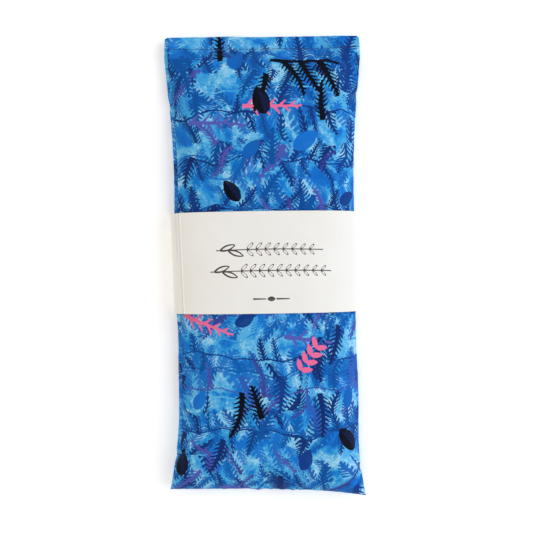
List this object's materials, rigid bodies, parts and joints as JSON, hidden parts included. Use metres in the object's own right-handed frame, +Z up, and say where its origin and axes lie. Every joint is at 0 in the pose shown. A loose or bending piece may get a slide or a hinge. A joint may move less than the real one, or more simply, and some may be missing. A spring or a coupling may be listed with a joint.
{
  "type": "eye pillow",
  "caption": "Long narrow cotton bag filled with seed and lavender, topstitched shut across one flat end, with a removable paper band round its waist.",
  "frame": {"origin": "on the surface that the pillow lies on, under the middle of the pillow", "axes": "+Z up, out of the front face; +Y along the pillow, towards the topstitched end; +X across it, to the right with the topstitched end at the top"},
  "size_m": [0.1, 0.233, 0.0217],
  "materials": {
    "printed_cotton": "plain-weave cotton printed with ferns in blues, pink and near black",
    "plain_cotton": "unbleached plain-weave cotton",
    "sewing_thread": "matte navy spun thread",
    "liner_thread": "matte cream spun thread",
    "flax_seed": "glossy brown seeds",
    "lavender_bud": "dry, dusty violet grey",
    "band_paper": "smooth off-white paper",
    "dried_glue": "clear dried glue"
  },
  "bodies": {
    "pillow": {"cover_front_panel": "printed_cotton", "cover_back_panel": "printed_cotton", "side_seam_needle_thread": "sewing_thread", "side_seam_bobbin_thread": "sewing_thread", "closing_seam_needle_thread": "sewing_thread", "closing_seam_bobbin_thread": "sewing_thread", "liner_front_panel": "plain_cotton", "liner_back_panel": "plain_cotton", "liner_seam_needle_thread": "liner_thread", "liner_seam_bobbin_thread": "liner_thread", "flaxseed_fill": "flax_seed", "lavender_buds": "lavender_bud"},
    "belly_band": {"paper_band": "band_paper", "band_glue_strip": "dried_glue"}
  },
  "joints": [
    {"name": "band_slide", "type": "slide", "parent": "pillow", "child": "belly_band", "axis": [0, 1, 0], "range_m": [-0.145, 0.145], "deforming": ["cover_front_panel", "cover_back_panel", "side_seam_needle_thread", "side_seam_bobbin_thread", "closing_seam_needle_thread", "closing_seam_bobbin_thread"]}
  ]
}
